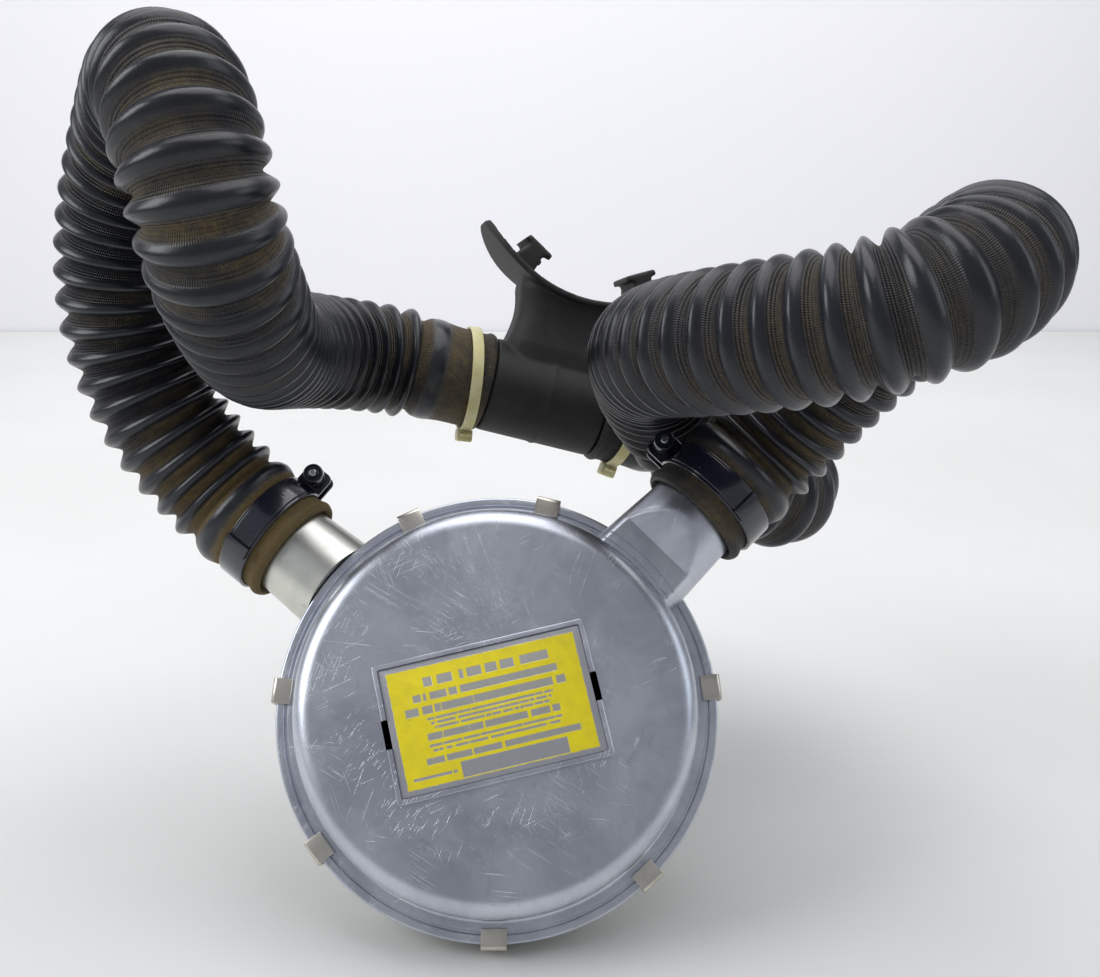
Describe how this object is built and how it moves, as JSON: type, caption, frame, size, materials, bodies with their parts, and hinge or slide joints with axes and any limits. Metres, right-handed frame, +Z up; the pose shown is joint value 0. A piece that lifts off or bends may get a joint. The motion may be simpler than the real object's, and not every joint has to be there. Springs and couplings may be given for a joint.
{
  "type": "twin-hose scuba regulator",
  "caption": "Single-stage diving regulator: round two-part metal can with yoke and inlet valve, corrugated rubber hoses on side horns, and a rubber mouthpiece between them.",
  "frame": {"origin": "under the middle of everything but the hoses, on the plane that the lowest rim clip and the yoke knob stand on", "axes": "+X to the right seen from the front cover, +Y from the front cover towards the yoke and mouthpiece, +Z up; the can leans back, its axis 32.6 degrees above the horizontal"},
  "size_m": [0.3458, 0.2568, 0.3093],
  "materials": {
    "satin_metal": "satin, finely scratched, unpainted sheet metal",
    "zinc_metal": "dull, yellowish passivated plating",
    "nickel": "warm bright nickel plate",
    "chrome": "bright chrome plate",
    "brass": "machined brass",
    "steel": "stainless steel",
    "bronze": "sintered bronze",
    "black_rubber": "semi-gloss moulded rubber with woven imprint and ochre dust in the folds",
    "grey_rubber": "matt thin rubber",
    "black_plastic": "moulded plastic",
    "black_clamp": "glossy black enamel",
    "nylon": "aged translucent nylon",
    "yellow_label": "yellow enamel on metal plate, worn, with plain bars in place of lettering"
  },
  "bodies": {
    "can": {"front_cover": "satin_metal", "rear_body": "zinc_metal", "diaphragm": "grey_rubber", "rim_clip_1": "nickel", "rim_clip_2": "nickel", "rim_clip_3": "nickel", "rim_clip_4": "nickel", "rim_clip_5": "nickel", "rim_clip_6": "nickel", "rim_clip_7": "nickel", "label_plate": "yellow_label", "exhaust_valve": "grey_rubber", "inlet_nozzle": "brass", "body_nut": "brass", "venturi_jet": "brass", "seat_spring": "steel", "inlet_filter": "bronze", "filter_ring": "steel", "lever_bracket": "steel", "primary_pivot_pin": "steel", "secondary_pivot_pin": "steel", "yoke": "chrome", "yoke_nut": "chrome", "intake_clamp_band": "black_clamp", "intake_clamp_nut": "black_clamp", "exhaust_clamp_band": "black_clamp", "exhaust_clamp_nut": "black_clamp", "mouthpiece": "black_rubber", "intake_valve_cage": "black_plastic", "intake_cable_tie": "nylon", "exhaust_valve_cage": "black_plastic", "exhaust_cable_tie": "nylon", "intake_hose": "black_rubber", "exhaust_hose": "black_rubber"},
    "diaphragm_plate": {"diaphragm_plate": "steel"},
    "primary_lever": {"primary_lever": "steel"},
    "secondary_lever": {"secondary_lever": "steel"},
    "valve_stem": {"push_pin": "steel", "valve_seat": "black_plastic"},
    "yoke_screw": {"yoke_screw": "chrome"},
    "yoke_knob": {"yoke_knob": "black_plastic"},
    "intake_clamp_screw": {"intake_clamp_screw": "steel"},
    "exhaust_clamp_screw": {"exhaust_clamp_screw": "steel"},
    "intake_valve_flap": {"intake_valve_flap": "grey_rubber"},
    "exhaust_valve_flap": {"exhaust_valve_flap": "grey_rubber"}
  },
  "joints": [
    {"name": "diaphragm_travel", "type": "slide", "parent": "can", "child": "diaphragm_plate", "axis": [0, 0.8428, -0.5383], "range_m": [0, 0.008], "stiffness_N_per_m": 300, "springref_m": -0.001, "deforming": ["diaphragm"]},
    {"name": "primary_lever_turn", "type": "hinge", "parent": "can", "child": "primary_lever", "pos_m": [0.01429, -0.05397, 0.0632], "axis": [0, -0.5383, -0.8428], "range_deg": [0, 16.5]},
    {"name": "secondary_lever_turn", "type": "hinge", "parent": "can", "child": "secondary_lever", "pos_m": [-0.00571, -0.05203, 0.06196], "axis": [0, 0.5383, 0.8428], "range_deg": [0, 8.5]},
    {"name": "valve_stem_lift", "type": "slide", "parent": "can", "child": "valve_stem", "axis": [0, 0.8428, -0.5383], "range_m": [0, 0.0014], "deforming": ["seat_spring"]},
    {"name": "yoke_screw_travel", "type": "slide", "parent": "can", "child": "yoke_screw", "axis": [0, -0.8428, 0.5383], "range_m": [-0.006, 0.002]},
    {"name": "yoke_knob_turn", "type": "hinge", "parent": "yoke_screw", "child": "yoke_knob", "pos_m": [0.00329, 0.01893, 0.01663], "axis": [0, -0.8428, 0.5383], "range_deg": [-1450, 490]},
    {"name": "intake_clamp_screw_turn", "type": "hinge", "parent": "can", "child": "intake_clamp_screw", "pos_m": [-0.06818, -0.00667, 0.14003], "axis": [0, -0.8428, 0.5383], "continuous": true},
    {"name": "exhaust_clamp_screw_turn", "type": "hinge", "parent": "can", "child": "exhaust_clamp_screw", "pos_m": [0.0646, -0.01797, 0.15578], "axis": [0, -0.8428, 0.5383], "continuous": true},
    {"name": "intake_flap_lift", "type": "slide", "parent": "can", "child": "intake_valve_flap", "axis": [0.9469, 0.1595, -0.2791], "range_m": [0, 0.0015], "stiffness_N_per_m": 60, "springref_m": -0.0005},
    {"name": "exhaust_flap_lift", "type": "slide", "parent": "can", "child": "exhaust_valve_flap", "axis": [0.9469, 0.1595, -0.2791], "range_m": [0, 0.0015], "stiffness_N_per_m": 60, "springref_m": -0.0005}
  ],
  "couplings": [
    {"joint": "primary_lever_turn", "follows": "diaphragm_travel", "rad_per_m": 33.4},
    {"joint": "secondary_lever_turn", "follows": "diaphragm_travel", "rad_per_m": 16.5},
    {"joint": "valve_stem_lift", "follows": "diaphragm_travel", "ratio": 0.145},
    {"joint": "yoke_knob_turn", "follows": "yoke_screw_travel", "rad_per_m": 4188.8}
  ]
}
